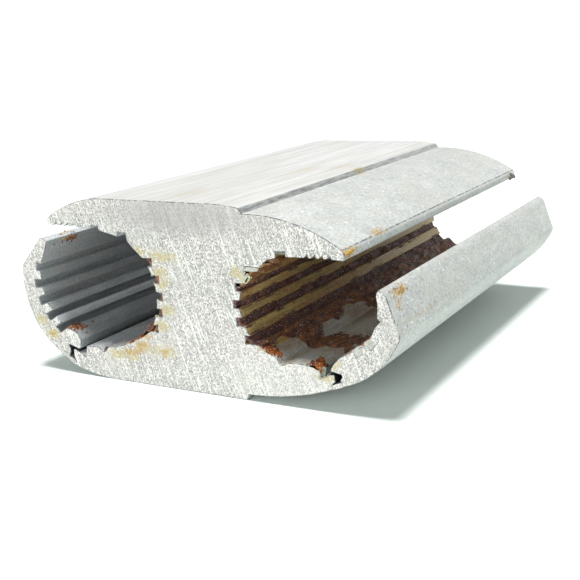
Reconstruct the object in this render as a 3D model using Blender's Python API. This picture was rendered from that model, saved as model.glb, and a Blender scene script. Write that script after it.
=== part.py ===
"""Parallel-groove compression connector (an H-tap): one aluminium extrusion, cut square to length.

A solid core carries a crowned roof with two wings and the inner walls of two conductor grooves. A jaw
hangs on each side of the core by a thin web, and folds over its conductor when the connector is crimped.
Brown oxide-inhibiting compound lies in the grooves. Here the extrusion is split at its two webs, so that
each jaw turns about the web that it bends on.

Frame: origin on the base flat, at mid-width and mid-length; +Y along the extrusion, +X towards the small
groove, +Z up towards the roof. Section points are (x, z) in millimetres.
"""

import math

import bmesh
import bpy

MM = 0.001

LENGTH = 76.0
GAP = 0.3

# Core: roof, base and their small steps.
ROOF_FLAT_Z = 29.25
ROOF_FLAT_LEFT_X = -16.5
ROOF_FLAT_RIGHT_X = 5.0
ROOF_STEP_X = 9.7
ROOF_FALL_TO_STEP = 0.45
ROOF_STEP_DROP = 0.8
WING_UNDERSIDE_LEFT_Z = 24.6
WING_UNDERSIDE_RIGHT_Z = 22.3
BASE_LEFT_X = -17.2
BASE_RIGHT_X = 8.9
BASE_STEP_RISE = 0.9

# Conductor grooves: centre and radius of the circle through the ridge crests of each core wall.
RUN_CENTRE = (-15.55, 14.45)
RUN_RADIUS = 9.25
TAP_CENTRE = (15.45, 14.3)
TAP_RADIUS = 6.9

# The channels in each core wall, top to bottom: both grooves share one spacing.
CHANNEL_HEIGHTS = [19.8, 17.2, 14.6, 12.0, 9.4]
CHANNEL_WIDTH = 1.2
CHANNEL_DEPTH = 1.05

# Serrations in the wings' undersides. Each is flat, then rises between two shares of the pitch and drops.
TEETH = 4
TOOTH_PITCH = 1.18
TOOTH_HEIGHT = 0.45
TOOTH_RISE_START = 0.45
TOOTH_RISE_END = 0.93

# Webs: centre, slope of the outer skin in degrees, and thickness. A jaw turns about its web's centre.
LEFT_WEB = (-24.7, 2.1)
LEFT_WEB_SLOPE = -35.0
LEFT_WEB_THICKNESS = 0.56
RIGHT_WEB = (24.0, 4.22)
RIGHT_WEB_SLOPE = 20.0
RIGHT_WEB_THICKNESS = 0.66
WEB_HALF_WIDTH = 0.5

# Compound: how far it stands off the metal, and how thick it lies.
FILM_LIFT = GAP
FILM_THICKNESS = 0.5
COMPOUND_LENGTH = LENGTH - 2.0

# Edges sharper than this are creased, the rest are smooth.
CREASE_ANGLE = 28.0

ALUMINIUM = (0.71, 0.71, 0.70)
ALUMINIUM_ROUGHNESS = 0.42
COMPOUND = (0.16, 0.055, 0.025)
COMPOUND_ROUGHNESS = 0.35


def arc(start, end, sagitta, steps):
    """Points after start up to end, on a shallow curve standing sagitta to the left of the chord."""
    dx = end[0] - start[0]
    dz = end[1] - start[1]
    chord = math.hypot(dx, dz)
    points = []
    for i in range(1, steps + 1):
        t = i / steps
        side = 4.0 * sagitta * t * (1.0 - t) / chord
        points.append((start[0] + dx * t - dz * side, start[1] + dz * t + dx * side))
    return points


def wall_x(centre, radius, side, z):
    """x of a groove circle at height z, on its right (side 1) or its left (side -1)."""
    return centre[0] + side * math.sqrt(radius ** 2 - (z - centre[1]) ** 2)


def core_channels(centre, radius, side, width, depth):
    """The horizontal channels of a core wall, top to bottom, each from its upper to its lower lip."""
    points = []
    for z in CHANNEL_HEIGHTS:
        top = z + width / 2
        low = z - width / 2
        bottom = wall_x(centre, radius + depth, side, z)
        points += [(wall_x(centre, radius, side, top), top), (bottom, top)]
        points += [(bottom, low), (wall_x(centre, radius, side, low), low)]
    return points


def jaw_channel(first_lip, last_lip, depth):
    """A channel cut square into the metal, which lies on the left going from lip to lip."""
    dx = last_lip[0] - first_lip[0]
    dz = last_lip[1] - first_lip[1]
    width = math.hypot(dx, dz)
    inward = (-dz / width * depth, dx / width * depth)
    first_bottom = (first_lip[0] + inward[0], first_lip[1] + inward[1])
    last_bottom = (last_lip[0] + inward[0], last_lip[1] + inward[1])
    return [first_lip, first_bottom, last_bottom, last_lip]


def teeth(start_x, z):
    """Saw teeth in a wing's underside, cut upwards from z and running towards +X."""
    points = []
    for i in range(TEETH):
        x = start_x + TOOTH_PITCH * i
        points.append((x, z))
        points.append((x + TOOTH_PITCH * TOOTH_RISE_START, z))
        points.append((x + TOOTH_PITCH * TOOTH_RISE_END, z + TOOTH_HEIGHT))
    points.append((start_x + TOOTH_PITCH * TEETH, z))
    return points


def web_end(centre, slope, thickness, reach):
    """The outer and inner corner of a square end across the skin, reach away from a web's centre."""
    c = math.cos(math.radians(slope))
    s = math.sin(math.radians(slope))
    x = centre[0] + reach * c
    z = centre[1] + reach * s
    half = thickness / 2
    return [(x + half * s, z - half * c), (x - half * s, z + half * c)]


def web_outline(centre, slope, thickness):
    """The thin strip that a jaw bends on."""
    left = web_end(centre, slope, thickness, -WEB_HALF_WIDTH)
    right = web_end(centre, slope, thickness, WEB_HALF_WIDTH)
    return [left[0], right[0], right[1], left[1]]


def core_outline():
    """The core, anticlockwise from the left end of the base flat."""
    reach = WEB_HALF_WIDTH + GAP
    right_end = web_end(RIGHT_WEB, RIGHT_WEB_SLOPE, RIGHT_WEB_THICKNESS, -reach)
    left_end = web_end(LEFT_WEB, LEFT_WEB_SLOPE, LEFT_WEB_THICKNESS, reach)
    roof_step_low = ROOF_FLAT_Z - ROOF_FALL_TO_STEP - ROOF_STEP_DROP

    # Base and the skin up to the right web.
    points = [(BASE_LEFT_X, 0.0), (BASE_RIGHT_X, 0.0), (BASE_RIGHT_X + 0.3, BASE_STEP_RISE)]
    points += arc(points[-1], right_end[0], -0.65, 8)

    # Right hinge slot: a tooth that points up at the jaw's hook, then a pocket that the hook drops into.
    points += [right_end[1], (23.68, 4.85), (23.5, 5.8), (22.75, 5.75), (21.75, 5.05), (21.3, 5.0)]

    # Tap groove: floor, core wall and crown.
    points += [(21.3, 6.1), (20.2, 6.6), (18.2, 6.8), (16.4, 6.7), (15.2, 6.2), (14.7, 6.3), (14.4, 7.2)]
    points += [(12.7, 7.95)]
    points += reversed(core_channels(TAP_CENTRE, TAP_RADIUS, -1, CHANNEL_WIDTH, CHANNEL_DEPTH))
    points += [(13.6, 21.6), (15.0, 21.9), (15.05, 22.95), (16.55, 22.95), (16.6, 22.2)]

    # Right wing.
    points += teeth(19.0, WING_UNDERSIDE_RIGHT_Z)
    points += [(25.55, 22.25), (25.75, 22.5), (25.75, 23.35), (25.5, 23.75)]
    points += arc(points[-1], (ROOF_STEP_X + 0.2, roof_step_low), -1.25, 12)

    # Roof: a step up to the raised flat, then the left wing.
    points += [(ROOF_STEP_X - 0.1, roof_step_low + 0.5), (ROOF_STEP_X - 0.4, roof_step_low + ROOF_STEP_DROP)]
    points += arc(points[-1], (ROOF_FLAT_RIGHT_X, ROOF_FLAT_Z), -0.1, 4)
    points += [(ROOF_FLAT_LEFT_X, ROOF_FLAT_Z)]
    points += arc(points[-1], (-26.2, 26.15), -0.62, 8)
    points += [(-26.8, 25.7), (-27.0, 25.2), (-26.8, 24.75)]
    points += teeth(-26.1, WING_UNDERSIDE_LEFT_Z)

    # Run groove: crown, core wall and floor.
    points += [(-18.1, 24.45), (-17.95, 24.95), (-16.6, 24.95), (-16.5, 24.25)]
    points += [(-12.9, 23.45), (-12.75, 24.2), (-11.3, 24.1), (-11.1, 22.8), (-10.0, 21.7)]
    points += core_channels(RUN_CENTRE, RUN_RADIUS, 1, CHANNEL_WIDTH, CHANNEL_DEPTH)
    points += arc(points[-1], (-16.9, 5.25), 0.6, 6)
    points += [(-17.5, 4.5), (-18.2, 4.5), (-18.8, 5.1), (-21.4, 4.9)]

    # Left hinge slot: a pocket for the jaw's hook, then a tooth that points at the jaw.
    points += [(-21.6, 3.3), (-21.8, 3.0), (-23.0, 3.8), (-24.25, 4.15), (-24.3, 2.8), left_end[1]]

    # Skin from the left web down to the base.
    points += [left_end[0]]
    points += arc(points[-1], (BASE_LEFT_X, 0.0), -0.25, 6)[:-1]
    return points


def left_jaw_outline():
    """The run groove's jaw, anticlockwise from the outer skin at the web."""
    end = web_end(LEFT_WEB, LEFT_WEB_SLOPE, LEFT_WEB_THICKNESS, -(WEB_HALF_WIDTH + GAP))

    # Slot side and hook.
    points = [end[0], end[1], (-24.9, 3.6), (-25.1, 4.75), (-24.7, 4.75), (-23.0, 4.25), (-22.6, 4.8)]
    points += [(-22.4, 5.9), (-23.4, 7.1), (-24.8, 7.6)]

    # Ridges and channels, from the foot to the tip.
    channels = [
        ((-25.5, 7.45), (-26.2, 8.45), 1.5),
        ((-27.25, 9.4), (-27.9, 10.45), 1.65),
        ((-28.75, 11.55), (-29.15, 12.85), 1.55),
        ((-29.4, 14.1), (-29.5, 15.4), 1.6),
        ((-29.55, 16.8), (-29.3, 18.05), 1.0),
    ]
    for lower_lip, upper_lip, depth in channels:
        points += jaw_channel(lower_lip, upper_lip, depth)
    points += [(-28.6, 19.4), (-28.0, 20.7)]

    # Tip and outer skin.
    points += [(-27.6, 21.9), (-28.5, 22.3), (-29.05, 22.3), (-33.3, 17.7), (-33.6, 16.7), (-33.6, 15.5)]
    points += arc(points[-1], end[0], -2.4, 14)[:-1]
    return points


def right_jaw_outline():
    """The tap groove's jaw, anticlockwise from the outer skin at the web."""
    end = web_end(RIGHT_WEB, RIGHT_WEB_SLOPE, RIGHT_WEB_THICKNESS, WEB_HALF_WIDTH + GAP)

    # Outer skin, knee and tip.
    points = [end[0]] + arc(end[0], (33.5, 11.8), -1.25, 12)
    points += [(33.6, 12.6), (33.3, 13.4), (31.75, 17.8), (31.3, 18.3), (30.75, 18.6), (30.4, 18.5)]
    points += [(30.2, 17.8), (30.4, 16.6), (30.3, 14.7)]

    # Ridges and channels, from the tip to the foot.
    points += [(30.75, 14.3), (30.3, 13.8), (29.75, 13.1), (29.4, 12.1)]
    points += jaw_channel((29.3, 11.65), (28.55, 10.75), 1.0)
    points += jaw_channel((27.5, 10.25), (26.5, 9.6), 1.0)
    points += [(25.5, 9.05), (24.4, 8.4), (23.4, 7.4)]

    # Hook and slot side.
    points += [(23.1, 6.8), (22.9, 6.3), (23.5, 6.2), (24.6, 6.0), (24.75, 5.7), (24.4, 5.05), end[1]]
    return points


def film_outline(wall):
    """A layer of compound lying on the left of a wall line."""
    near = []
    far = []
    for i, point in enumerate(wall):
        before = wall[max(i - 1, 0)]
        after = wall[min(i + 1, len(wall) - 1)]
        dx = after[0] - before[0]
        dz = after[1] - before[1]
        length = math.hypot(dx, dz)
        normal = (-dz / length, dx / length)
        for side, rise in ((near, FILM_LIFT), (far, FILM_LIFT + FILM_THICKNESS)):
            side.append((point[0] + normal[0] * rise, point[1] + normal[1] * rise))
    return near + far[::-1]


def wall_compound_outline(centre, radius, side):
    """Compound on a core wall: a layer over the ridges with a bead down in each channel."""
    outer = core_channels(centre, radius - FILM_LIFT, side, CHANNEL_WIDTH - 2 * GAP, CHANNEL_DEPTH)
    top = CHANNEL_HEIGHTS[0]
    low = CHANNEL_HEIGHTS[-1]
    inner = []
    steps = 12
    for i in range(steps + 1):
        z = low + (top - low) * i / steps
        inner.append((wall_x(centre, radius - FILM_LIFT - FILM_THICKNESS, side, z), z))
    return outer + inner


def area(outline):
    """Signed area of an outline, positive when anticlockwise as seen from -Y."""
    total = 0.0
    for i, (x, z) in enumerate(outline):
        next_x, next_z = outline[(i + 1) % len(outline)]
        total += x * next_z - next_x * z
    return total / 2


def extrusion(name, outline, material, length=LENGTH, pivot=(0.0, 0.0)):
    """An outline pulled along Y, centred on mid-length, with its origin on the line through pivot."""
    if area(outline) < 0:
        outline = outline[::-1]
    bm = bmesh.new()
    ring = []
    for x, z in outline:
        ring.append(bm.verts.new(((x - pivot[0]) * MM, -length / 2 * MM, (z - pivot[1]) * MM)))
    face = bm.faces.new(ring)
    pulled = bmesh.ops.extrude_face_region(bm, geom=[face], use_keep_orig=True)
    moved = [item for item in pulled["geom"] if isinstance(item, bmesh.types.BMVert)]
    bmesh.ops.translate(bm, verts=moved, vec=(0.0, length * MM, 0.0))
    bmesh.ops.recalc_face_normals(bm, faces=bm.faces)
    mesh = bpy.data.meshes.new(name)
    bm.to_mesh(mesh)
    bm.free()
    mesh.shade_smooth()
    mesh.set_sharp_from_angle(angle=math.radians(CREASE_ANGLE))
    mesh.materials.append(material)
    piece = bpy.data.objects.new(name, mesh)
    piece.location = (pivot[0] * MM, 0.0, pivot[1] * MM)
    bpy.context.scene.collection.objects.link(piece)
    return piece


def finish(name, colour, roughness, metallic):
    material = bpy.data.materials.new(name)
    material.use_nodes = True
    shader = material.node_tree.nodes["Principled BSDF"]
    shader.inputs["Base Color"].default_value = (*colour, 1.0)
    shader.inputs["Roughness"].default_value = roughness
    shader.inputs["Metallic"].default_value = metallic
    return material


def aluminium(name):
    return finish(name + "_aluminium", ALUMINIUM, ALUMINIUM_ROUGHNESS, 1.0)


def compound(name):
    return finish(name + "_paste", COMPOUND, COMPOUND_ROUGHNESS, 0.0)


def metal_pieces():
    extrusion("core", core_outline(), aluminium("core"))
    extrusion("left_jaw", left_jaw_outline(), aluminium("left_jaw"), pivot=LEFT_WEB)
    extrusion("right_jaw", right_jaw_outline(), aluminium("right_jaw"), pivot=RIGHT_WEB)
    left_web = web_outline(LEFT_WEB, LEFT_WEB_SLOPE, LEFT_WEB_THICKNESS)
    right_web = web_outline(RIGHT_WEB, RIGHT_WEB_SLOPE, RIGHT_WEB_THICKNESS)
    extrusion("left_web", left_web, aluminium("left_web"), pivot=LEFT_WEB)
    extrusion("right_web", right_web, aluminium("right_web"), pivot=RIGHT_WEB)


def compound_pieces():
    for name, centre, radius, side in (
        ("left_wall_compound", RUN_CENTRE, RUN_RADIUS, 1),
        ("right_wall_compound", TAP_CENTRE, TAP_RADIUS, -1),
    ):
        extrusion(name, wall_compound_outline(centre, radius, side), compound(name), length=COMPOUND_LENGTH)
    for name, wall, pivot in (
        ("left_floor_compound", [(-16.4, 5.4), (-14.5, 5.55), (-12.6, 6.2), (-10.6, 7.3)], (0.0, 0.0)),
        ("right_floor_compound", [(15.4, 6.75), (16.8, 6.95), (18.2, 6.95), (20.0, 6.75)], (0.0, 0.0)),
        ("left_jaw_compound", [(-25.0, 7.75), (-24.0, 7.45), (-23.2, 7.05)], LEFT_WEB),
        ("right_jaw_compound", [(23.9, 8.05), (24.6, 8.65), (25.6, 9.25), (26.4, 9.75)], RIGHT_WEB),
    ):
        extrusion(name, film_outline(wall), compound(name), length=COMPOUND_LENGTH, pivot=pivot)


def main():
    for item in list(bpy.data.objects):
        bpy.data.objects.remove(item, do_unlink=True)
    metal_pieces()
    compound_pieces()


main()
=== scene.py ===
"""Looks of the parallel-groove compression connector: metal finishes, webs, burrs and compound."""
import math
import random

import bmesh
import bpy
from mathutils import Euler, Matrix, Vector, noise
from mathutils.bvhtree import BVHTree


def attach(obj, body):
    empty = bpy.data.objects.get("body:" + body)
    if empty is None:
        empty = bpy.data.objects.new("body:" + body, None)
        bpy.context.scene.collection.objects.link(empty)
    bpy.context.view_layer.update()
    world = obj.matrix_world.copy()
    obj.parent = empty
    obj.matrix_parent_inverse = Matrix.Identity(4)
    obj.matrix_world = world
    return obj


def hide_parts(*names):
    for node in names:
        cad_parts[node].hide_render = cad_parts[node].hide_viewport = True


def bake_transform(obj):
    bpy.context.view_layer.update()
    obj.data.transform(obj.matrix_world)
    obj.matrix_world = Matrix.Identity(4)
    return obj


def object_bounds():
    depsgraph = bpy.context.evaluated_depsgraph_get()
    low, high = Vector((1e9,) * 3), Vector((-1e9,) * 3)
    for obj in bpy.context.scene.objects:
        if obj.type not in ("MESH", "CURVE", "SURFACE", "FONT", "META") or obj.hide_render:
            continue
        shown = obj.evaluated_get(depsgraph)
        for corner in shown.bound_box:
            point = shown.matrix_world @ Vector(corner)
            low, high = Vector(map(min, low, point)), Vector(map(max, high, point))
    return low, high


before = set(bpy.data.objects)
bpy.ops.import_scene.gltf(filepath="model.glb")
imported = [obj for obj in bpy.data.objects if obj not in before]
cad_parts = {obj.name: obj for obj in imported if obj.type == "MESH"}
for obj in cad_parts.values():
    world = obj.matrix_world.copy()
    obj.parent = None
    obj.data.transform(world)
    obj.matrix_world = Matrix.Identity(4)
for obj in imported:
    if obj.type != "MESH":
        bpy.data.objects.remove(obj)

MM = 0.001
cad_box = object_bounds()
LOW, HIGH = cad_box
FRONT_Y = LOW.y / MM
BACK_Y = HIGH.y / MM

# Section of the extrusion, in millimetres, as in the CAD model.
RUN_CENTRE = (-15.55, 14.45)
RUN_RADIUS = 9.25
TAP_CENTRE = (15.45, 14.3)
TAP_RADIUS = 6.9
CHANNEL_HEIGHTS = [19.8, 17.2, 14.6, 12.0, 9.4]
CHANNEL_WIDTH = 1.2
CHANNEL_DEPTH = 1.05
ROOF_STEP_X = 9.7
WING_TIPS = [(25.5, 23.75), (-26.8, 25.7)]

# The circle through the ridge crests of the run groove's jaw.
RUN_JAW_CENTRE = (-19.5, 15.5)
RUN_JAW_RADIUS = 10.0

# Webs: centre, slope of the skin in degrees, and thickness. The reach is half the span from core to jaw.
LEFT_WEB = ((-24.7, 2.1), -35.0, 0.56)
RIGHT_WEB = ((24.0, 4.22), 20.0, 0.66)
WEB_REACH = 0.82
WEB_STRIPS = 10
WEB_LENGTHS = 38

# Where one finish gives way to another, in millimetres: heights, places across, and distances from the
# centre of a web (slits) or of a groove (walls and channels).
LEFT_SLIT_REACH = 2.3
LEFT_SLIT_FLOOR = 1.9
RIGHT_SLIT_REACH = 2.2
RIGHT_SLIT_FLOOR = 4.2
RUN_WALL_REACH = 12.9
RUN_CHANNEL_START = 9.5
RUN_CHANNEL_END = 10.6
RUN_JAW_CHANNEL_START = RUN_JAW_RADIUS + 0.25
RUN_FOOT_TOP = 11.0
TAP_WALL_REACH = 12.3
TAP_FLOOR_TOP = 8.2
TAP_FLOOR_START = 12.4
ROOF_BOTTOM = 20
ROOF_STEP_REACH = 0.6
RAISED_ROOF_END = ROOF_STEP_X - 0.4

# How far a face's normal must lean one way to belong to an end, the roof step, a jaw's outside or a slit.
END_LEAN = 0.9
STEP_LEAN = 0.35
OUTSIDE_LEAN = 0.35
SLIT_LEAN = 0.6

# Broken edges of the metal: lengths in millimetres, angles in degrees.
WELD = 0.002
FLAT_ANGLE = 0.4
SHARP_ANGLE = 24
EDGE_BREAK = 0.10
END_EDGE_LEAN = (0.15, 0.97)
TIP_EDGE_REACH = 0.14

# Angles past which shading breaks, in degrees.
METAL_CREASE = 32
GRID_CREASE = 60
LOOSE_CREASE = 50


# ---------------------------------------------------------------- shader helpers

# Raggedness of wide soft areas and of small stains: features a millimetre, and for stains how soft and how
# ragged their edges are.
AREA_GRAIN = 1.1
STAIN_GRAIN = 2.1
STAIN_SOFTNESS = 0.7
STAIN_WOBBLE = 3.2


class Shader:
    """A node material under construction."""

    def __init__(self, name):
        self.material = bpy.data.materials.new(name)
        self.material.use_nodes = True
        self.tree = self.material.node_tree
        self.surface = self.tree.nodes["Principled BSDF"]

    def set(self, **values):
        """Sets Principled sockets: names with _ for spaces, values or sockets."""
        for key, value in values.items():
            self.plug(value, self.surface.inputs[key.replace("_", " ")])

    def plug(self, value, socket):
        if isinstance(value, bpy.types.NodeSocket):
            self.tree.links.new(value, socket)
        else:
            socket.default_value = value

    def node(self, kind, inputs, **settings):
        made = self.tree.nodes.new(kind)
        for key, value in settings.items():
            setattr(made, key, value)
        for key, value in inputs.items():
            self.plug(value, made.inputs[key])
        return made

    def position(self, scale=(1.0, 1.0, 1.0), turn=(0.0, 0.0, 0.0)):
        """The point on the piece in millimetres, turned in degrees and scaled per axis."""
        place = self.node("ShaderNodeTexCoord", {}).outputs["Object"]
        size = tuple(value / MM for value in scale)
        angles = tuple(math.radians(a) for a in turn)
        turned = self.node("ShaderNodeMapping", {"Vector": place, "Rotation": angles})
        sized = self.node("ShaderNodeMapping", {"Vector": turned.outputs[0], "Scale": size})
        return sized.outputs[0]

    def noise(self, scale, detail, roughness, stretch=(1.0, 1.0, 1.0), turn=(0.0, 0.0, 0.0)):
        """Noise of about scale features a millimetre, times stretch on each axis of the turned piece."""
        made = self.node(
            "ShaderNodeTexNoise",
            {"Vector": self.position(stretch, turn), "Scale": scale, "Detail": detail,
             "Roughness": roughness},
        )
        return made.outputs[0]

    def ramp(self, value, low, high, out_low=0.0, out_high=1.0):
        """value mapped from low..high to out_low..out_high, clamped."""
        made = self.node(
            "ShaderNodeMapRange",
            {"Value": value, "From Min": low, "From Max": high, "To Min": out_low, "To Max": out_high},
            interpolation_type="SMOOTHSTEP",
        )
        return made.outputs[0]

    def math(self, operation, a, b):
        made = self.tree.nodes.new("ShaderNodeMath")
        made.operation = operation
        self.plug(a, made.inputs[0])
        self.plug(b, made.inputs[1])
        return made.outputs[0]

    def mix(self, factor, a, b):
        """Colour a to colour b."""
        made = self.tree.nodes.new("ShaderNodeMix")
        made.data_type = "RGBA"
        self.plug(factor, made.inputs[0])
        self.plug(colour(a), made.inputs[6])
        self.plug(colour(b), made.inputs[7])
        return made.outputs[2]

    def layers(self, base, *rows):
        """base under layers, each (pattern, value where it starts, value where it is full, share, tint)."""
        for pattern, start, full, share, tint in rows:
            base = self.mix(self.ramp(pattern, start, full, 0.0, share), base, tint)
        return base

    def blob(self, centre, size, softness, wobble, grain):
        """1 inside a ragged ellipsoid round centre (mm), falling to 0 at its edge; size is its radii."""
        place = self.position()
        moved = self.node(
            "ShaderNodeMapping",
            {"Vector": place, "Location": tuple(-c / s for c, s in zip(centre, size)),
             "Scale": tuple(1 / s for s in size)},
        )
        length = self.node("ShaderNodeVectorMath", {0: moved.outputs[0]}, operation="LENGTH").outputs[1]
        ragged = self.math("ADD", length, self.math("MULTIPLY", self.noise(grain, 5.0, 0.75), wobble))
        rim = 1.0 + wobble / 2
        return self.ramp(ragged, rim, rim - softness)

    def area(self, base, centre, size, softness, wobble, share, tint):
        """base with share of tint in one wide soft area."""
        mask = self.blob(centre, size, softness, wobble, AREA_GRAIN)
        return self.mix(self.math("MULTIPLY", mask, share), base, tint)

    def stains(self, base, spots, tint):
        """base with ragged, speckled spots of tint: each spot is (centre, size, share)."""
        specks = self.ramp(self.noise(3.0, 4.0, 0.8), 0.38, 0.60, 0.25, 1.0)
        for centre, size, share in spots:
            spot = self.blob(centre, size, STAIN_SOFTNESS, STAIN_WOBBLE, STAIN_GRAIN)
            mask = self.math("MULTIPLY", self.math("MULTIPLY", spot, share), specks)
            base = self.mix(mask, base, tint)
        return base

    def bump(self, height, distance, strength):
        """A normal for relief that is distance millimetres high."""
        inputs = {"Height": height, "Distance": distance * MM, "Strength": strength}
        return self.node("ShaderNodeBump", inputs).outputs[0]


def colour(value):
    return (*value, 1.0) if isinstance(value, tuple) and len(value) == 3 else value


# ---------------------------------------------------------------- materials

# Stains round the grooves and slits of the shown end: x and z in millimetres, and width over height.
YELLOW_STAINS = [
    (-9.4, 21.3, 1.3), (-4.6, 20.9, 2.2), (-5.4, 18.4, 1.2), (-5.0, 16.6, 1.0), (-4.6, 12.6, 1.2),
    (-6.0, 9.9, 1.3), (-5.7, 5.8, 1.9), (-9.6, 6.2, 1.5), (-15.1, 4.4, 1.4), (-30.6, 8.6, 1.2),
    (-28.4, 6.4, 1.4), (22.4, 5.4, 1.5), (23.6, 7.4, 0.8), (-12.4, 4.4, 1.3), (8.2, 19.4, 0.9),
]
ORANGE_STAINS = [
    (-11.7, 5.0, 1.3), (-8.9, 7.9, 1.3), (-5.6, 14.3, 0.7), (-10.4, 6.3, 0.9), (-5.6, 5.6, 0.8),
    (-28.4, 6.1, 0.9), (22.0, 5.6, 0.7), (12.5, 8.3, 1.8), (-12.9, 5.1, 1.0), (-10.8, 5.5, 1.2),
    (-9.7, 6.6, 1.2),
]
STAIN_DEPTH = 3.0
STAIN_STRETCH = 1.3

# Stains given one by one: centre and radii in millimetres, and the share of tint. The chip is on the shown
# end, left of the tap groove.
CREAM_CHIP = [((9.3, FRONT_Y, 18.6), (0.95, STAIN_DEPTH, 0.8), 1.0)]
ROOF_SPOTS = [
    ((9.3, 1.0, 29.2), (0.8, 2.6, 2.0), 0.9),
    ((6.0, 0.0, 29.2), (1.6, 6.0, 2.0), 0.35),
    ((2.0, -4.0, 29.2), (1.6, 7.0, 2.0), 0.30),
    ((-4.0, -30.0, 29.2), (2.0, 6.0, 2.0), 0.30),
]
STEP_SPOTS = [((9.7, 1.0, 28.5), (1.0, 2.6, 1.0), 0.95)]
WING_SPOTS = [
    ((26.4, FRONT_Y + 2.0, 23.3), (1.6, 2.6, 1.6), 0.9),
    ((25.2, FRONT_Y + 12.0, 24.1), (0.9, 2.5, 1.0), 0.6),
    ((10.3, 0.5, 28.2), (0.8, 2.4, 1.0), 0.5),
    ((26.4, BACK_Y - 3.0, 23.0), (1.2, 3.0, 1.2), 0.7),
]
JAW_SPOTS = [
    ((31.7, FRONT_Y + 4.4, 17.6), (0.8, 2.2, 0.6), 0.8),
    ((32.5, FRONT_Y + 3.0, 16.3), (0.7, 1.0, 0.6), 0.5),
    ((33.4, FRONT_Y + 9.0, 13.6), (0.5, 12.0, 0.4), 0.4),
]
RUST_UNDER_WING = [
    ((9.4, FRONT_Y, 19.3), (4.2, 26.0, 2.8), 0.85),
    ((13.5, FRONT_Y + 4.0, 21.5), (6.0, 40.0, 1.8), 0.75),
    ((9.0, FRONT_Y, 15.8), (1.5, 5.0, 1.5), 0.75),
    ((11.0, FRONT_Y + 14.0, 9.6), (3.0, 40.0, 1.4), 0.75),
]
FLOOR_FILM = [
    ((19.5, FRONT_Y + 12.0, 6.8), (4.0, 6.0, 2.0), 0.6),
    ((13.2, FRONT_Y + 7.0, 7.6), (1.5, 8.0, 1.2), 0.6),
    ((15.5, FRONT_Y + 28.0, 6.6), (4.0, 7.0, 2.0), 0.5),
]

# Tints that more than one layer takes.
SAW_BRIGHT = (0.99, 0.99, 0.98)
YELLOW = (0.57, 0.48, 0.18)
ORANGE = (0.52, 0.32, 0.08)
CREAM = (0.62, 0.59, 0.36)
OCHRE = (0.46, 0.27, 0.06)
RUST = (0.27, 0.10, 0.03)


def sawn_end():
    """The saw-cut ends: bright and speckled, with slanting saw marks and pale yellow stains; painted shade
    darkens their top and painted light brightens their lower right.
    """
    s = Shader("sawn_end")
    slant = (0.0, 17.0, 0.0)
    cross_slant = (0.0, 27.0, 0.0)
    strokes = s.noise(1.0, 3.0, 0.9, (5.4, 0.2, 3.9), slant)
    marks = s.noise(1.0, 2.0, 0.6, (3.9, 0.2, 0.13), slant)
    cross_marks = s.noise(1.0, 2.0, 0.5, (3.4, 0.2, 0.20), cross_slant)
    grit = s.noise(3.2, 3.0, 0.85)
    pits = s.noise(4.0, 1.0, 0.5)
    cloud = s.noise(0.22, 4.0, 0.6)
    base = s.mix(s.ramp(strokes, 0.41, 0.54), (0.29, 0.28, 0.285), (0.985, 0.955, 0.91))
    base = s.layers(
        base,
        (grit, 0.50, 0.62, 0.90, (0.36, 0.345, 0.355)),
        (marks, 0.60, 0.66, 0.70, (0.38, 0.38, 0.39)),
        (marks, 0.39, 0.33, 0.90, SAW_BRIGHT),
        (cross_marks, 0.64, 0.70, 0.80, SAW_BRIGHT),
        (pits, 0.62, 0.70, 0.90, (0.13, 0.13, 0.14)),
    )
    # Painted shade: the end face darker across its top, under the roof.
    base = s.area(base, (-1.0, FRONT_Y, 27.5), (21.0, 200.0, 5.0), 0.8, 0.3, 0.70, (0.43, 0.41, 0.42))
    base = s.layers(base, (cloud, 0.48, 0.66, 0.30, (0.60, 0.585, 0.555)))
    # Painted light: the end face brighter towards its lower right, where the floor throws light back.
    base = s.area(base, (17.0, FRONT_Y, 4.0), (16.0, 200.0, 9.0), 0.7, 0.3, 0.25, (0.99, 0.98, 0.94))
    base = s.stains(base, CREAM_CHIP, CREAM)
    for places, tint, size, share in (
        (YELLOW_STAINS, YELLOW, 1.15, 0.95),
        (ORANGE_STAINS, ORANGE, 0.75, 0.9),
    ):
        spots = [
            ((x, FRONT_Y, z), (STAIN_STRETCH * size * width, STAIN_DEPTH, size), share)
            for x, z, width in places
        ]
        base = s.stains(base, spots, tint)
    relief = s.math("ADD", strokes, s.math("MULTIPLY", grit, 0.8))
    s.set(Base_Color=base, Metallic=0.15, Roughness=s.ramp(grit, 0.3, 0.7, 0.50, 0.65),
          Normal=s.bump(relief, 0.14, 0.8))
    return s.material


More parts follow.
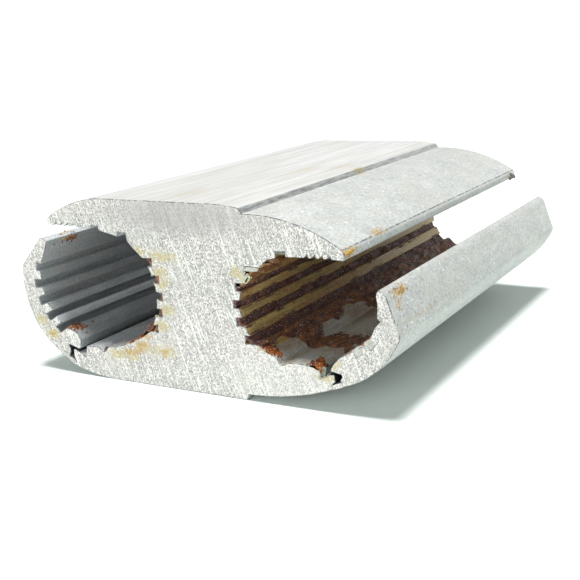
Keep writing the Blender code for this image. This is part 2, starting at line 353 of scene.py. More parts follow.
def roof_skin():
    """The raised roof: pale, warm, with fine lines drawn along the extrusion, and painted shade darkening
    it towards the shown end.
    """
    s = Shader("roof_skin")
    lines = s.noise(1.0, 4.0, 0.65, (2.2, 0.04, 2.2))
    wide_lines = s.noise(1.0, 3.0, 0.6, (0.30, 0.03, 0.30))
    rubs = s.noise(1.0, 4.0, 0.7, (0.9, 0.10, 0.9), (0.0, 0.0, 4.0))
    fleck = s.noise(1.6, 5.0, 0.75)
    base = s.mix(s.ramp(lines, 0.35, 0.65), (0.53, 0.53, 0.53), (0.70, 0.70, 0.70))
    base = s.layers(base, (wide_lines, 0.40, 0.66, 0.35, (0.52, 0.51, 0.47)))
    # Painted shade: the roof darker towards the shown end and lighter far from it.
    base = s.area(base, (-5.0, FRONT_Y, 29.0), (40.0, 60.0, 30.0), 0.9, 0.2, 0.45, (0.47, 0.46, 0.44))
    base = s.layers(
        base,
        (rubs, 0.55, 0.68, 0.35, (0.76, 0.76, 0.76)),
        (fleck, 0.60, 0.75, 0.45, (0.38, 0.35, 0.29)),
    )
    base = s.stains(base, ROOF_SPOTS, (0.44, 0.35, 0.12))
    s.set(Base_Color=base, Metallic=0.15, Roughness=s.ramp(lines, 0.3, 0.7, 0.62, 0.76),
          Normal=s.bump(s.math("ADD", lines, fleck), 0.06, 0.6))
    return s.material


def wing_skin(name, tone, dirt, spots=()):
    """Dull bluish-grey extruded skin with beige clouds, bright nicks, pin-prick pits and ochre spots."""
    s = Shader(name)
    fleck = s.noise(2.3, 4.0, 0.85, (1.0, 0.7, 1.0))
    cloud = s.noise(0.28, 6.0, 0.72, (1.0, 0.7, 1.0))
    beige = s.noise(0.22, 5.0, 0.65)
    lines = s.noise(1.0, 3.0, 0.6, (1.8, 0.05, 1.8))
    nicks = s.noise(1.7, 2.0, 0.5, (1.0, 0.6, 1.0), (0.0, 0.0, 25.0))
    pits = s.noise(3.4, 1.0, 0.4)

    def toned(*values):
        return tuple(v * tone for v in values)

    base = s.mix(s.ramp(cloud, 0.30, 0.70), toned(0.475, 0.495, 0.488), toned(0.60, 0.615, 0.605))
    base = s.layers(
        base,
        (fleck, 0.47, 0.36, 0.75, toned(0.30, 0.315, 0.31)),
        (fleck, 0.53, 0.64, 0.70, toned(0.80, 0.805, 0.795)),
        (lines, 0.52, 0.70, 0.20, toned(0.42, 0.45, 0.46)),
        (beige, 0.46, 0.62, 0.40, toned(0.55, 0.545, 0.49)),
        (nicks, 0.70, 0.74, 0.90, toned(0.90, 0.91, 0.90)),
        (pits, 0.66, 0.74, dirt * 2, toned(0.17, 0.17, 0.14)),
    )
    base = s.stains(base, spots, OCHRE)
    s.set(Base_Color=base, Metallic=0.2, Roughness=s.ramp(fleck, 0.3, 0.7, 0.56, 0.70),
          Normal=s.bump(s.math("ADD", fleck, s.math("MULTIPLY", nicks, 1.5)), 0.05, 0.5))
    return s.material


def step_painted_shade_skin():
    """The edge of the raised roof: a sheared face, darker than the roof as painted shade."""
    s = Shader("step_painted_shade_skin")
    tears = s.noise(1.0, 4.0, 0.7, (2.0, 0.35, 2.6))
    lines = s.noise(1.0, 3.0, 0.6, (2.0, 0.05, 3.0))
    base = s.mix(s.ramp(tears, 0.35, 0.62), (0.24, 0.25, 0.25), (0.44, 0.455, 0.455))
    base = s.layers(base, (lines, 0.55, 0.7, 0.5, (0.54, 0.55, 0.55)))
    base = s.stains(base, STEP_SPOTS, (0.34, 0.27, 0.08))
    s.set(Base_Color=base, Metallic=0.35, Roughness=s.ramp(tears, 0.3, 0.7, 0.45, 0.65),
          Normal=s.bump(tears, 0.12, 0.7))
    return s.material


def edge_skin():
    """The broken edges round the ends and on the wing tips, where dirt and shadow draw a thin dark line."""
    s = Shader("end_edge")
    wear = s.noise(1.4, 4.0, 0.7)
    base = s.mix(s.ramp(wear, 0.42, 0.62), (0.10, 0.105, 0.11), (0.50, 0.51, 0.50))
    s.set(Base_Color=base, Metallic=0.2, Roughness=s.ramp(wear, 0.3, 0.7, 0.6, 0.75),
          Normal=s.bump(wear, 0.05, 0.6))
    return s.material


def groove_skin(name, dark, light, film, film_share, rust_spots=(), metallic=0.2):
    """The inside of a groove: drawn metal from dark to light, with a film of oil over part of it."""
    s = Shader(name)
    lines = s.noise(1.0, 4.0, 0.6, (2.5, 0.06, 2.5))
    patch = s.noise(0.30, 5.0, 0.7, (1.0, 0.4, 1.0))
    fleck = s.noise(3.4, 4.0, 0.8)
    base = s.mix(s.ramp(lines, 0.25, 0.80), dark, light)
    base = s.layers(
        base,
        (patch, 0.44, 0.62, film_share, film),
        (fleck, 0.52, 0.66, 0.8, tuple(1.3 * c for c in light)),
        (fleck, 0.48, 0.34, 0.8, tuple(0.7 * c for c in dark)),
    )
    base = s.stains(base, rust_spots, RUST)
    s.set(Base_Color=base, Metallic=metallic, Roughness=s.ramp(lines, 0.3, 0.7, 0.42, 0.62),
          Normal=s.bump(s.math("ADD", lines, fleck), 0.04, 0.6))
    return s.material


def slit_painted_shade_skin():
    """The root of the slits beside the webs: painted shade, near-black walls standing in for the shade deep
    in the slits.
    """
    s = Shader("slit_painted_shade_skin")
    shade_mottle = s.noise(1.2, 4.0, 0.6, (1.0, 0.3, 1.0))
    base = s.mix(s.ramp(shade_mottle, 0.4, 0.65), (0.012, 0.014, 0.026), (0.055, 0.06, 0.075))
    s.set(Base_Color=base, Metallic=0.1, Roughness=s.ramp(shade_mottle, 0.3, 0.7, 0.6, 0.8),
          Normal=s.bump(shade_mottle, 0.05, 0.5))
    return s.material


def paste_material(name, deep, thin):
    """Half-dried gritty compound, in patches of a deep and a thin colour, with bright grit."""
    s = Shader(name)
    lumps = s.noise(0.9, 5.0, 0.7, (1.0, 0.55, 1.0))
    fine_lumps = s.noise(3.0, 3.0, 0.7)
    grit = s.noise(4.2, 1.0, 0.4)
    base = s.mix(s.ramp(lumps, 0.38, 0.66), deep, thin)
    base = s.layers(
        base,
        (fine_lumps, 0.55, 0.70, 0.6, thin),
        (grit, 0.65, 0.72, 0.9, (0.80, 0.72, 0.66)),
    )
    s.set(Base_Color=base, Metallic=0.0, Roughness=s.ramp(lumps, 0.3, 0.7, 0.50, 0.75),
          Specular_IOR_Level=0.35, Coat_Weight=0.04, Coat_Roughness=0.25,
          Normal=s.bump(s.math("ADD", lumps, fine_lumps), 0.18, 0.8))
    return s.material


MATERIALS = {
    "sawn": sawn_end(),
    "roof": roof_skin(),
    "step": step_painted_shade_skin(),
    "edge": edge_skin(),
    "slit": slit_painted_shade_skin(),
    "wing": wing_skin("wing_skin", 0.97, 0.25, WING_SPOTS),
    "base": wing_skin("base_skin", 1.0, 0.3),
    "jaw": wing_skin("jaw_skin", 0.93, 0.45, JAW_SPOTS),
}

# Groove metals: name, dark, light, film, share of film, and where needed rust spots and how metallic.
for look, row in {
    "run": ("run_ridge_skin", (0.33, 0.345, 0.36), (0.46, 0.475, 0.49), (0.41, 0.38, 0.37), 0.7),
    "run_foot": ("run_foot_skin", (0.31, 0.325, 0.34), (0.43, 0.45, 0.47), (0.49, 0.52, 0.545), 0.5),
    # Painted light: the run groove's channels lighter than its ridges, to lift the shade in them.
    "run_channel": ("run_channel_painted_light_skin", (0.42, 0.445, 0.465), (0.60, 0.63, 0.65), (0.48, 0.45, 0.44), 0.7),
    "tap": ("tap_groove_skin", (0.27, 0.19, 0.07), (0.64, 0.49, 0.21), (0.37, 0.20, 0.09), 0.6,
            RUST_UNDER_WING, 0.1),
    # Painted light: the tap groove's floor lighter, as light from the opening would make it, with its film
    # and rust.
    "tap_floor": ("tap_floor_painted_light_skin", (0.40, 0.43, 0.43), (0.62, 0.67, 0.665), (0.36, 0.29, 0.20), 0.75,
                  FLOOR_FILM),
    "tap_jaw": ("tap_jaw_skin", (0.33, 0.36, 0.36), (0.56, 0.60, 0.59), (0.38, 0.29, 0.19), 0.5),
    "burr": ("burr_skin", (0.10, 0.115, 0.09), (0.25, 0.27, 0.22), (0.16, 0.12, 0.07), 0.4),
    "smear": ("smear_skin", (0.34, 0.35, 0.32), (0.70, 0.70, 0.66), (0.45, 0.42, 0.33), 0.4),
}.items():
    MATERIALS[look] = groove_skin(*row)

# Compounds: name, deep colour, thin colour.
for look, row in {
    "paste": ("dark_paste", (0.078, 0.033, 0.040), (0.21, 0.095, 0.066)),
    "rust_paste": ("rust_paste", (0.080, 0.028, 0.028), (0.32, 0.145, 0.066)),
    "warm_rust": ("warm_rust", (0.12, 0.045, 0.015), (0.40, 0.18, 0.06)),
    "bright_paste": ("bright_paste", (0.12, 0.022, 0.008), (0.42, 0.135, 0.022)),
    "crust": ("orange_crust", (0.42, 0.22, 0.035), (0.74, 0.49, 0.13)),
    "cream": ("cream_crust", (0.45, 0.42, 0.24), (0.85, 0.82, 0.60)),
}.items():
    MATERIALS[look] = paste_material(*row)


# ---------------------------------------------------------------- meshes

def finished_mesh(name, bm, crease=None):
    """The bmesh as a smooth mesh, with its edges past crease degrees kept sharp."""
    mesh = bpy.data.meshes.new(name)
    bm.to_mesh(mesh)
    bm.free()
    mesh.shade_smooth()
    if crease is not None:
        mesh.set_sharp_from_angle(angle=math.radians(crease))
    return mesh


def shown(name, mesh, looks):
    """A new piece in the scene, with its looks in the order of its material indices."""
    for look in looks:
        mesh.materials.append(MATERIALS[look])
    piece = bpy.data.objects.new(name, mesh)
    bpy.context.scene.collection.objects.link(piece)
    return piece


def closed_grid(name, rows):
    """A closed skin with flat ends, through rings of points in millimetres, all of one length."""
    bm = bmesh.new()
    verts = [[bm.verts.new(point * MM) for point in row] for row in rows]
    count = len(rows[0])
    for j in range(len(rows) - 1):
        for i in range(count):
            k = (i + 1) % count
            bm.faces.new((verts[j][i], verts[j][k], verts[j + 1][k], verts[j + 1][i]))
    for ring in (verts[0], verts[-1]):
        for i in range(count // 2 - 1):
            bm.faces.new((ring[i], ring[i + 1], ring[count - 2 - i], ring[count - 1 - i]))
    bmesh.ops.recalc_face_normals(bm, faces=bm.faces)
    return finished_mesh(name, bm, GRID_CREASE)


# ---------------------------------------------------------------- metal

def away(point, centre):
    """The direction from a groove's centre to a point, in the section."""
    return Vector((point.x / MM - centre[0], 0.0, point.z / MM - centre[1])).normalized()


def reach(point, centre):
    """The distance from a centre to a point, in the section, in millimetres."""
    return math.hypot(point.x / MM - centre[0], point.z / MM - centre[1])


# Each of these names a face's look from its middle and its normal.

def core_finish(point, normal):
    if abs(normal.y) > END_LEAN:
        return "sawn"
    # Faces at the root of the slits take the near-black slit look, which is painted shade.
    if reach(point, LEFT_WEB[0]) < LEFT_SLIT_REACH and point.z > LEFT_SLIT_FLOOR * MM:
        return "slit"
    if reach(point, RIGHT_WEB[0]) < RIGHT_SLIT_REACH and point.z > RIGHT_SLIT_FLOOR * MM:
        return "slit"
    if reach(point, RUN_CENTRE) < RUN_WALL_REACH and point.x < 0:
        # The channels take the lighter run_channel look, which is painted light.
        return "run_channel" if RUN_CHANNEL_START < reach(point, RUN_CENTRE) < RUN_CHANNEL_END else "run"
    if reach(point, TAP_CENTRE) < TAP_WALL_REACH and point.x > 0:
        # The floor of the tap groove takes the lighter tap_floor look, which is painted light.
        on_floor = point.z < TAP_FLOOR_TOP * MM and point.x > TAP_FLOOR_START * MM
        return "tap_floor" if on_floor else "tap"
    if point.z > ROOF_BOTTOM * MM:
        # The roof step's face takes the darker step look, which is painted shade.
        if normal.x > STEP_LEAN and abs(point.x / MM - ROOF_STEP_X) < ROOF_STEP_REACH:
            return "step"
        return "roof" if point.x < RAISED_ROOF_END * MM else "wing"
    return "base"


def left_jaw_finish(point, normal):
    outward = normal.dot(away(point, RUN_CENTRE))
    if abs(normal.y) > END_LEAN:
        return "sawn"
    if reach(point, LEFT_WEB[0]) < LEFT_SLIT_REACH and outward < SLIT_LEAN:
        return "slit"
    if outward > OUTSIDE_LEAN:
        return "jaw"
    if point.z < RUN_FOOT_TOP * MM:
        return "run_foot"
    return "run_channel" if reach(point, RUN_JAW_CENTRE) > RUN_JAW_CHANNEL_START else "run"


def right_jaw_finish(point, normal):
    outward = normal.dot(away(point, TAP_CENTRE))
    if abs(normal.y) > END_LEAN:
        return "sawn"
    if reach(point, RIGHT_WEB[0]) < RIGHT_SLIT_REACH and outward < SLIT_LEAN:
        return "slit"
    return "jaw" if outward > OUTSIDE_LEAN else "tap_jaw"


def metal_piece(node, name, body, finish):
    """A CAD metal node with its flat faces made whole, its edges broken and a finish per face."""
    bm = bmesh.new()
    bm.from_mesh(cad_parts[node].data)
    bmesh.ops.remove_doubles(bm, verts=bm.verts, dist=WELD * MM)
    bmesh.ops.dissolve_limit(bm, angle_limit=math.radians(FLAT_ANGLE), verts=bm.verts, edges=bm.edges)
    looks = ["edge"]
    for face in bm.faces:
        look = finish(face.calc_center_median(), face.normal)
        if look not in looks:
            looks.append(look)
        face.material_index = looks.index(look)
    sharp = [e for e in bm.edges if e.calc_face_angle(0.0) > math.radians(SHARP_ANGLE)]
    bmesh.ops.bevel(bm, geom=sharp, offset=EDGE_BREAK * MM, segments=2, profile=0.5, affect="EDGES",
                    clamp_overlap=True, material=-1)
    for face in bm.faces:
        middle = face.calc_center_median()
        lean = abs(face.normal.y)
        end_edge = END_EDGE_LEAN[0] < lean < END_EDGE_LEAN[1]
        tip_edge = lean < END_EDGE_LEAN[0] and any(reach(middle, tip) < TIP_EDGE_REACH for tip in WING_TIPS)
        if end_edge or tip_edge:
            face.material_index = looks.index("edge")
    piece = shown(name, finished_mesh(name, bm, METAL_CREASE), looks)
    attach(piece, body)
    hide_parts(node)


def web_piece(node, name, web):
    """The thin web from core to jaw, in short strips."""
    (x, z), slope, thickness = web
    along = Vector((math.cos(math.radians(slope)), 0.0, math.sin(math.radians(slope))))
    across = Vector((-along.z, 0.0, along.x)) * (thickness / 2)
    centre = Vector((x, 0.0, z))
    rows = []
    for j in range(WEB_LENGTHS + 1):
        y = FRONT_Y + (BACK_Y - FRONT_Y) * j / WEB_LENGTHS
        ring = []
        for side in (-1, 1):
            for i in range(WEB_STRIPS + 1):
                t = (2 * i / WEB_STRIPS - 1) * -side
                ring.append(centre + along * (WEB_REACH * t) + across * side + Vector((0.0, y, 0.0)))
        rows.append(ring)
    piece = shown(name, closed_grid(name, rows), ["base", "sawn"])
    for face in piece.data.polygons:
        face.material_index = 1 if abs(face.normal.y) > END_LEAN else 0
    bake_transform(piece)
    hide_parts(node)


# ---------------------------------------------------------------- sheets of compound

# How far the sheets stop short of the ends, their lengths along the groove, and their steps across it.
END_INSET = 0.12
SHEET_LENGTHS = 150
WALL_STEP = 0.15
TAP_FLOOR_STEP = 0.18
RUN_FLOOR_STEP = 0.2

# The paste in a channel reaches CHANNEL_OVERLAP past its sides and rises over CHANNEL_SLOPE there.
CHANNEL_OVERLAP = 0.08
CHANNEL_SLOPE = 0.12

# Compound less than FILM above the metal drops away DROP times as steeply, but stays LEAST clear of the
# sheet's underside.
FILM = 0.05
DROP = 5.0
LEAST = 0.08

# Fractal noise: how quickly finer octaves fade, how much finer each is, and how many there are.
RIPPLE_FRACTAL = (0.8, 2.1, 3)
LUMP_FRACTAL = (0.7, 2.0, 4)
SEED_STRIDE = 7.3


def ripple(s, y, seed, size):
    """Smooth noise, about -1 to 1, with features of size millimetres along s and twice that along y."""
    return noise.fractal(Vector((s / size, y / size / 2, seed * SEED_STRIDE)), *RIPPLE_FRACTAL)


def wall_line(centre, radius, side, top, low):
    """Core wall points from top to low as (x, z, free direction in degrees)."""
    facing = 180.0 if side > 0 else 0.0
    points = []
    z = top
    while z > low:
        points.append((centre[0] + side * math.sqrt(radius ** 2 - (z - centre[1]) ** 2), z, facing))
        z -= WALL_STEP
    return resampled(points, WALL_STEP)


def faced(points):
    """(x, z) points as (x, z, free direction in degrees), the free side on the right going along them."""
    result = []
    for i, (x, z) in enumerate(points):
        before = points[max(i - 1, 0)]
        after = points[min(i + 1, len(points) - 1)]
        ahead = math.atan2(after[1] - before[1], after[0] - before[0])
        result.append((x, z, (math.degrees(ahead) - 90.0) % 360.0))
    return result


def resampled(points, step):
    """Points of a line, with their free directions, at even steps."""
    result = [points[0]]
    for a, b in zip(points, points[1:]):
        count = max(1, round(math.hypot(b[0] - a[0], b[1] - a[1]) / step))
        for i in range(1, count + 1):
            t = i / count
            result.append(tuple(u + (v - u) * t for u, v in zip(a, b)))
    return result


def in_channel(z):
    """How far a height lies inside one of the core wall's channels: 1 in it, 0 on a ridge."""
    nearest = min(abs(z - height) for height in CHANNEL_HEIGHTS)
    return max(0.0, min(1.0, (CHANNEL_WIDTH / 2 + CHANNEL_OVERLAP - nearest) / CHANNEL_SLOPE))


def along_groove(y, start, end):
    """0 before start and 1 past end, in millimetres behind the shown end, smooth between."""
    t = max(0.0, min(1.0, (y - FRONT_Y - start) / (end - start)))
    return t * t * (3 - 2 * t)


def at_end(y, length):
    """1 at the shown end, falling evenly to 0 at length millimetres behind it."""
    return max(0.0, 1.0 - (y - FRONT_Y) / length)


def paste_sheet(name, node, body, line, height, look, depth, channels=False):
    """A closed sheet of compound on a wall line: height(x, z, y) is how proud it stands, in millimetres.

    Below the metal the sheet drops away steeply, so its visible patches have clean, ragged edges."""
    front = FRONT_Y + END_INSET
    back = BACK_Y - END_INSET
    rows = []
    for j in range(SHEET_LENGTHS + 1):
        y = front + (back - front) * j / SHEET_LENGTHS
        top = []
        under = []
        for x, z, angle in line:
            free = Vector((math.cos(math.radians(angle)), 0.0, math.sin(math.radians(angle))))
            metal = -CHANNEL_DEPTH * in_channel(z) if channels else 0.0
            rise = height(x, z, y)
            if rise < metal + FILM:
                rise = metal + FILM + DROP * (rise - metal - FILM)
            rise = max(LEAST - depth, rise)
            place = Vector((x, y, z))
            top.append(place + free * rise)
            under.append(place - free * depth)
        rows.append(top + under[::-1])
    piece = shown(name, closed_grid(name, rows), [look])
    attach(piece, body)
    if node:
        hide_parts(node)


# Heights in millimetres above the wall's ridges or the floor: a mean, then ripples as amplitude times
# ripple(across, along, seed, size), each seed used once. paste_sheet gives each one x, z and y.

def tap_wall_height(x, z, y):
    inside = in_channel(z)
    beside = max(in_channel(z - 0.35), in_channel(z + 0.35))
    ridge = -0.24 + 0.27 * beside + 0.20 * ripple(z, y, 1, 2.2) + 0.08 * ripple(z, y, 21, 0.5)
    filled = -0.45 + 0.34 * ripple(z, y, 2, 1.3) + 0.14 * ripple(z, y, 22, 0.4)
    return ridge * (1 - inside) + filled * inside


def tap_roof_height(x, z, y):
    inside = in_channel(z)
    fade = 0.34 * along_groove(y, 6.0, 24.0)
    film = 0.04 - fade + 0.26 * ripple(z, y, 11, 1.8) + 0.10 * ripple(z, y, 12, 0.45)
    return film - (0.10 + 0.18 * along_groove(y, 3.0, 9.0)) * inside


def tap_floor_height(x, z, y):
    near_wall = max(0.0, 1.0 - (x - 10.9) / 3.8)
    band = along_groove(y, 5.5, 9.5) - 0.75 * along_groove(y, 14.0, 19.0)
    far = along_groove(y, 26.0, 34.0)
    rough = 0.26 * ripple(x, y, 3, 2.4) + 0.14 * ripple(x, y, 4, 0.7)
    return -0.36 + 0.62 * near_wall + 0.52 * max(band, far) + rough


def tap_jaw_height(x, z, y):
    low = max(0.0, 1.0 - (z - 7.1) / 4.5)
    patch = math.exp(-((z - 10.2) / 2.0) ** 2) * (1.0 - along_groove(y, 16.0, 30.0))
    deep = along_groove(y, 10.0, 24.0)
    rough = 0.28 * ripple(z, y, 5, 2.6) + 0.13 * ripple(z, y, 6, 0.7)
    return -0.36 + 0.26 * low + 0.40 * patch + 0.40 * deep + rough


def run_wall_height(x, z, y):
    inside = in_channel(z)
    ridge = -0.35 + 0.18 * ripple(z, y, 7, 2.0)
    filled = -0.98 + 0.30 * ripple(z, y, 8, 2.4) + 0.40 * at_end(y, 4.0) + 0.10 * ripple(z, y, 28, 0.5)
    return ridge * (1 - inside) + filled * inside


def run_floor_height(x, z, y):
    side = max(0.0, 1.0 - (-8.6 - x) / 4.5)
    rough = -0.36 + 0.32 * ripple(x, y, 9, 2.6) + 0.10 * ripple(x, y, 29, 0.6)
    return rough + 0.55 * at_end(y, 3.0) * side


def run_jaw_height(x, z, y):
    return -0.30 + 0.32 * ripple(x, y, 10, 2.0) + 0.20 * at_end(y, 3.0) + 0.08 * ripple(x, y, 30, 0.5)


def compound_sheets():
    tap_wall = wall_line(TAP_CENTRE, TAP_RADIUS, -1, 20.5, 8.7)
    paste_sheet("tap_wall_paste", "right_wall_compound", "core", tap_wall, tap_wall_height,
                "paste", 1.25, True)

    tap_roof = wall_line(TAP_CENTRE, TAP_RADIUS, -1, 21.1, 17.3)
    paste_sheet("tap_roof_rust", None, "core", tap_roof, tap_roof_height, "warm_rust", 1.25, True)

    tap_floor = resampled(faced([
        (21.2, 6.15), (20.2, 6.6), (18.2, 6.8), (16.4, 6.7), (15.2, 6.2), (14.7, 6.3), (14.4, 7.2),
        (12.7, 7.95), (11.4, 8.73),
    ]), TAP_FLOOR_STEP)
    paste_sheet("tap_floor_paste", "right_floor_compound", "core", tap_floor, tap_floor_height,
                "rust_paste", 0.9)

    tap_jaw = resampled(faced([
        (30.35, 16.4), (30.3, 14.7), (30.3, 13.8), (29.75, 13.1), (29.4, 12.1), (28.4, 10.8),
        (27.5, 10.25), (26.5, 9.6), (25.5, 9.05), (24.4, 8.4), (23.4, 7.4),
    ]), TAP_FLOOR_STEP)
    paste_sheet("tap_jaw_paste", "right_jaw_compound", "right_jaw", tap_jaw, tap_jaw_height,
                "rust_paste", 1.05)

    run_wall = wall_line(RUN_CENTRE, RUN_RADIUS, 1, 20.5, 8.8)
    paste_sheet("run_wall_paste", "left_wall_compound", "core", run_wall, run_wall_height,
                "rust_paste", 1.25, True)

    run_floor = resampled(faced([
        (-8.62, 8.52), (-9.9, 7.67), (-11.6, 6.79), (-13.3, 6.15), (-15.0, 5.67), (-16.7, 5.3),
    ]), RUN_FLOOR_STEP)
    paste_sheet("run_floor_paste", "left_floor_compound", "core", run_floor, run_floor_height,
                "rust_paste", 0.9)

    run_jaw = resampled(faced([(-22.5, 6.0), (-23.4, 7.1), (-24.8, 7.6), (-25.4, 7.5)]), RUN_FLOOR_STEP)
    paste_sheet("run_jaw_paste", "left_jaw_compound", "left_jaw", run_jaw, run_jaw_height,
                "bright_paste", 0.8)


# ---------------------------------------------------------------- lumps, grit and burrs

FLAKE_CORNERS = 36
LUMP_SEED_STRIDE = 0.61
LUMP_END_INSET = 0.02
CRUMB_END_INSET = 0.01
CRUMB_LIFT = 0.2

# Lumps: name, body, centre behind the shown end, radii, look.
LUMPS = [
    ("red_lump_a", "core", (-8.5, 0.9, 9.0), (0.85, 0.9, 0.85), "paste"),
    ("floor_end_lump", "core", (-17.5, 0.6, 4.75), (0.5, 0.6, 0.3), "paste"),
    ("floor_lump_b", "core", (11.2, 1.3, 8.9), (1.0, 1.3, 0.28), "rust_paste"),
    ("crown_dab", "core", (14.3, 0.8, 21.6), (1.5, 0.9, 0.35), "warm_rust"),
]

# Crumbs: name, body, centre behind the shown end, spread (two standard deviations), how many, smallest and
# largest radius, look.
CRUMBS = [
    ("red_heap", "core", (-9.2, 0.9, 8.5), (1.9, 1.3, 1.5), 130, (0.15, 0.42), "bright_paste"),
    ("red_trail", "core", (-11.2, 0.5, 6.9), (1.6, 0.7, 0.5), 60, (0.08, 0.22), "bright_paste"),
    ("run_foot_heap", "left_jaw", (-24.2, 1.7, 7.8), (1.6, 1.8, 0.5), 90, (0.07, 0.2), "bright_paste"),
    ("run_tip_heap", "left_jaw", (-28.1, 6.2, 21.3), (0.8, 2.2, 0.6), 50, (0.06, 0.17), "bright_paste"),
    ("floor_heap", "core", (12.7, 1.1, 8.2), (2.0, 1.3, 0.5), 120, (0.10, 0.28), "bright_paste"),
    ("slot_heap", "core", (20.6, 1.2, 6.9), (1.1, 1.6, 0.7), 170, (0.12, 0.34), "bright_paste"),
    ("wing_crust", "core", (26.6, 1.3, 23.2), (0.9, 1.8, 0.8), 80, (0.05, 0.15), "crust"),
    ("wing_specks", "core", (25.4, 12.0, 24.0), (0.8, 2.2, 0.5), 26, (0.05, 0.12), "crust"),
    ("wing_far_burr", "core", (25.9, 73.3, 22.6), (0.3, 1.6, 0.4), 9, (0.18, 0.36), "burr"),
    ("jaw_crust", "right_jaw", (31.7, 4.6, 17.6), (0.6, 2.6, 0.6), 80, (0.04, 0.13), "crust"),
    ("jaw_specks", "right_jaw", (32.4, 3.0, 16.4), (0.3, 0.8, 0.6), 14, (0.05, 0.12), "crust"),
    ("run_tip_specks", "left_jaw", (-28.3, 5.2, 21.6), (0.6, 2.2, 0.5), 40, (0.05, 0.13), "crust"),
    ("tap_mouth_swarf", "core", (9.0, 0.25, 18.5), (1.1, 0.2, 1.3), 40, (0.08, 0.18), "cream"),
    ("mouth_chip", "core", (10.0, 0.25, 18.6), (0.3, 0.4, 0.9), 70, (0.10, 0.26), "cream"),
    ("slot_swarf", "core", (22.1, 0.25, 5.1), (0.8, 0.2, 0.4), 90, (0.05, 0.12), "cream"),
    ("red_lump_crust", "core", (-10.2, 0.3, 7.0), (2.6, 0.4, 0.9), 50, (0.06, 0.16), "crust"),
    ("run_wall_swarf", "core", (-6.9, 0.2, 12.5), (0.5, 0.3, 6.0), 60, (0.06, 0.15), "cream"),
]

# Flakes: name, body, centre behind the shown end, size as half width, thickness and half height, lean in
# degrees, look.
FLAKES = [
    ("crown_burr", "core", (15.75, 0.25, 22.75), (0.72, 0.2, 0.24), -4.0, "burr"),
    ("top_channel_burr", "core", (10.75, 0.09, 20.05), (1.25, 0.11, 0.32), 2.0, "smear"),
    ("jaw_channel_burr_a", "right_jaw", (27.45, 0.20, 9.45), (0.95, 0.25, 0.85), 30.0, "smear"),
    ("jaw_channel_burr_b", "right_jaw", (29.30, 0.20, 10.85), (0.95, 0.25, 0.85), 40.0, "smear"),
    ("slot_burr", "core", (21.75, 0.30, 6.0), (0.42, 0.3, 0.70), -10.0, "burr"),
]


def behind_end(place):
    """x, distance behind the shown end and z, as a place in the part's frame, in millimetres."""
    return (place[0], FRONT_Y + place[1], place[2])


def lump(name, body, centre, size, look):
    """A small lump of compound: a ball squeezed to size and pushed about by noise."""
    seed = LUMP_SEED_STRIDE * len(name) + centre[0]
    bm = bmesh.new()
    bmesh.ops.create_icosphere(bm, subdivisions=4, radius=1.0)
    for vert in bm.verts:
        n = vert.co.normalized()
        push = 1.0 + 0.42 * noise.fractal(n * 1.3 + Vector((seed, 0.0, 0.0)), *LUMP_FRACTAL)
        push += 0.20 * noise.noise(n * 5.0 + Vector((0.0, seed, 0.0)))
        push += 0.12 * noise.noise(n * 11.0 + Vector((0.0, 0.0, seed)))
        vert.co = Vector((n.x * size[0], n.y * size[1], n.z * size[2])) * push
        vert.co = (vert.co + Vector(centre)) * MM
        vert.co.y = max(vert.co.y, (FRONT_Y + LUMP_END_INSET) * MM)
    piece = shown(name, finished_mesh(name, bm), [look])
    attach(piece, body)


def crumbs(name, body, centre, spread, count, sizes, look):
    """Gritty specks strewn round centre over the metal node named like its body, one ragged lump each."""
    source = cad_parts[body].data
    surface = BVHTree.FromPolygons([v.co for v in source.vertices], [p.vertices for p in source.polygons])
    draw = random.Random(len(name) + count)
    bm = bmesh.new()
    for _ in range(count):
        guess = Vector([c + draw.gauss(0.0, 0.5) * w for c, w in zip(centre, spread)])
        place, normal = surface.find_nearest(guess * MM)[:2]
        radius = draw.uniform(*sizes) * MM
        made = bmesh.ops.create_icosphere(bm, subdivisions=2, radius=1.0)["verts"]
        offset = draw.uniform(0.0, 50.0)
        for vert in made:
            push = 1.0 + 0.45 * noise.noise(vert.co * 1.8 + Vector((offset, 0.0, 0.0)))
            spot = place + vert.co * radius * push + normal * radius * CRUMB_LIFT
            spot.y = min(max(spot.y, (FRONT_Y + CRUMB_END_INSET) * MM), (BACK_Y - CRUMB_END_INSET) * MM)
            vert.co = spot
    piece = shown(name, finished_mesh(name, bm, LOOSE_CREASE), [look])
    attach(piece, body)


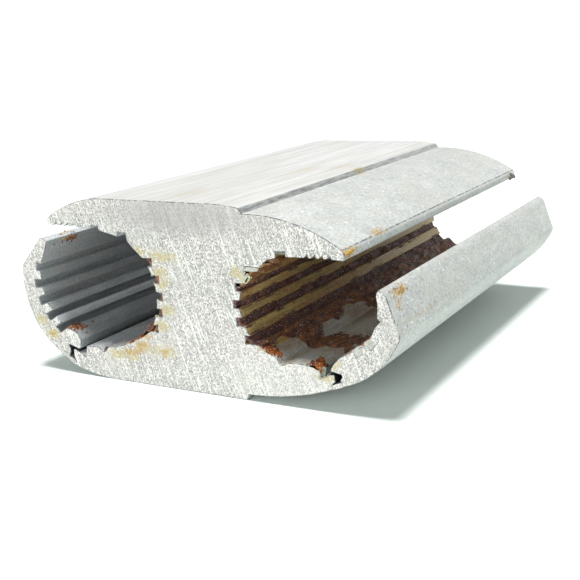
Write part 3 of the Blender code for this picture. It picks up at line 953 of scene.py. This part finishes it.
def flake(name, body, centre, size, lean, look):
    """A torn flake of metal: a thin ragged plate facing the end, leaning in its own plane."""
    seed = centre[0]
    thick = size[1]
    lean_by = math.radians(lean)
    bm = bmesh.new()
    rings = []
    for depth in (-0.5, 0.5):
        ring = []
        for i in range(FLAKE_CORNERS):
            turn = 2 * math.pi * i / FLAKE_CORNERS
            c = math.cos(turn)
            d = math.sin(turn)
            boxy = max(abs(c), abs(d)) ** 0.6
            ragged = 1.0 + 0.22 * noise.noise(Vector((c * 2.3, d * 2.3, seed)))
            ragged += 0.12 * noise.noise(Vector((c * 6.0, d * 6.0, seed + 5.0)))
            x = c / boxy * size[0] * ragged
            z = d / boxy * size[2] * ragged
            y = depth * thick + 0.25 * thick * noise.noise(Vector((x * 3.0, z * 3.0, seed)))
            place = Vector((x * math.cos(lean_by) - z * math.sin(lean_by), y,
                            x * math.sin(lean_by) + z * math.cos(lean_by)))
            ring.append(bm.verts.new((Vector(centre) + place) * MM))
        rings.append(ring)
    for i in range(FLAKE_CORNERS):
        k = (i + 1) % FLAKE_CORNERS
        bm.faces.new((rings[0][i], rings[0][k], rings[1][k], rings[1][i]))
    for ring in rings:
        middle = bm.verts.new(sum((v.co for v in ring), Vector()) / FLAKE_CORNERS)
        for i in range(FLAKE_CORNERS):
            bm.faces.new((middle, ring[i], ring[(i + 1) % FLAKE_CORNERS]))
    bmesh.ops.recalc_face_normals(bm, faces=bm.faces)
    piece = shown(name, finished_mesh(name, bm, LOOSE_CREASE), [look])
    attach(piece, body)


# ---------------------------------------------------------------- camera, light, floor

CAMERA_PLACE = (0.08411, -0.15321, 0.05241)
CAMERA_LENS = 61.29
SENSOR_WIDTH = 36.0
CAMERA_YAW = 30.17
CAMERA_TILT = 90 - 14.65
CAMERA_ROLL = -3.0
CLIP_START = 0.005

FILL_STRENGTH = 0.30
FILL_COLOUR = (0.955, 1.0, 0.99, 1.0)
BACKDROP_COLOUR = (1.0, 1.0, 1.0, 1.0)
TOP_STRENGTH = 3.9
TOP_SOFTNESS = 16.0
TOP_FROM = (0.02, -0.06, 1.0)
TOP_COLOUR = (1.0, 0.995, 0.98)
PANEL_SIZE = 0.5
PANEL_COLOUR = (1.0, 0.985, 0.95)
PANELS = [("front_light", 2.4, (-0.10, -0.80, 0.10)), ("back_light", 1.1, (0.15, 0.80, 0.16))]

FLOOR_HALF = 3.0
FLOOR_GAP = 0.00002
FLOOR_COLOUR = (0.90, 0.96, 0.935, 1.0)


def camera():
    scene = bpy.context.scene
    made = bpy.data.objects.new("camera", bpy.data.cameras.new("camera"))
    made.data.lens = CAMERA_LENS
    made.data.sensor_width = SENSOR_WIDTH
    made.data.clip_start = CLIP_START
    made.location = CAMERA_PLACE
    made.rotation_mode = "XYZ"
    yaw = Euler((0.0, 0.0, math.radians(CAMERA_YAW))).to_matrix()
    tilt = Euler((math.radians(CAMERA_TILT), 0.0, 0.0)).to_matrix()
    roll = Euler((0.0, 0.0, math.radians(CAMERA_ROLL))).to_matrix()
    made.rotation_euler = (yaw @ tilt @ roll).to_euler()
    scene.collection.objects.link(made)
    scene.camera = made


def backdrop():
    """White where the camera looks past the floor, and a softer cool fill for everything else."""
    world = bpy.data.worlds.new("studio")
    world.use_nodes = True
    tree = world.node_tree
    fill = tree.nodes["Background"]
    fill.inputs["Color"].default_value = FILL_COLOUR
    fill.inputs["Strength"].default_value = FILL_STRENGTH
    white = tree.nodes.new("ShaderNodeBackground")
    white.inputs["Color"].default_value = BACKDROP_COLOUR
    seen = tree.nodes.new("ShaderNodeLightPath").outputs["Is Camera Ray"]
    either = tree.nodes.new("ShaderNodeMixShader")
    tree.links.new(seen, either.inputs[0])
    tree.links.new(fill.outputs[0], either.inputs[1])
    tree.links.new(white.outputs[0], either.inputs[2])
    tree.links.new(either.outputs[0], tree.nodes["World Output"].inputs["Surface"])
    bpy.context.scene.view_settings.view_transform = "Standard"
    bpy.context.scene.world = world


def hang_lamp(light, direction):
    """A lamp that shines from the given direction towards the part."""
    lamp = bpy.data.objects.new(light.name, light)
    lamp.rotation_euler = Vector(direction).to_track_quat("Z", "Y").to_euler()
    bpy.context.scene.collection.objects.link(lamp)
    return lamp


def lights():
    sun = bpy.data.lights.new("top_light", "SUN")
    sun.energy = TOP_STRENGTH
    sun.angle = math.radians(TOP_SOFTNESS)
    sun.color = TOP_COLOUR
    hang_lamp(sun, TOP_FROM)
    for name, power, place in PANELS:
        panel = bpy.data.lights.new(name, "AREA")
        panel.size = PANEL_SIZE
        panel.energy = power
        panel.color = PANEL_COLOUR
        hang_lamp(panel, place).location = place


def floor():
    mesh = bpy.data.meshes.new("floor")
    corners = [(x * FLOOR_HALF, y * FLOOR_HALF, 0.0) for x, y in ((-1, -1), (1, -1), (1, 1), (-1, 1))]
    mesh.from_pydata(corners, [], [(0, 1, 2, 3)])
    made = bpy.data.objects.new("floor", mesh)
    made.location.z = LOW.z - FLOOR_GAP
    look = Shader("floor")
    look.set(Base_Color=FLOOR_COLOUR, Roughness=1.0)
    mesh.materials.append(look.material)
    bpy.context.scene.collection.objects.link(made)


camera()
backdrop()
lights()
floor()

metal_piece("core", "core_extrusion", "core", core_finish)
metal_piece("left_jaw", "left_jaw_extrusion", "left_jaw", left_jaw_finish)
metal_piece("right_jaw", "right_jaw_extrusion", "right_jaw", right_jaw_finish)
web_piece("left_web", "left_web_skin", LEFT_WEB)
web_piece("right_web", "right_web_skin", RIGHT_WEB)
compound_sheets()
for name, body, centre, size, look in LUMPS:
    lump(name, body, behind_end(centre), size, look)
for name, body, centre, spread, count, sizes, look in CRUMBS:
    crumbs(name, body, behind_end(centre), spread, count, sizes, look)
for name, body, centre, size, lean, look in FLAKES:
    flake(name, body, behind_end(centre), size, lean, look)
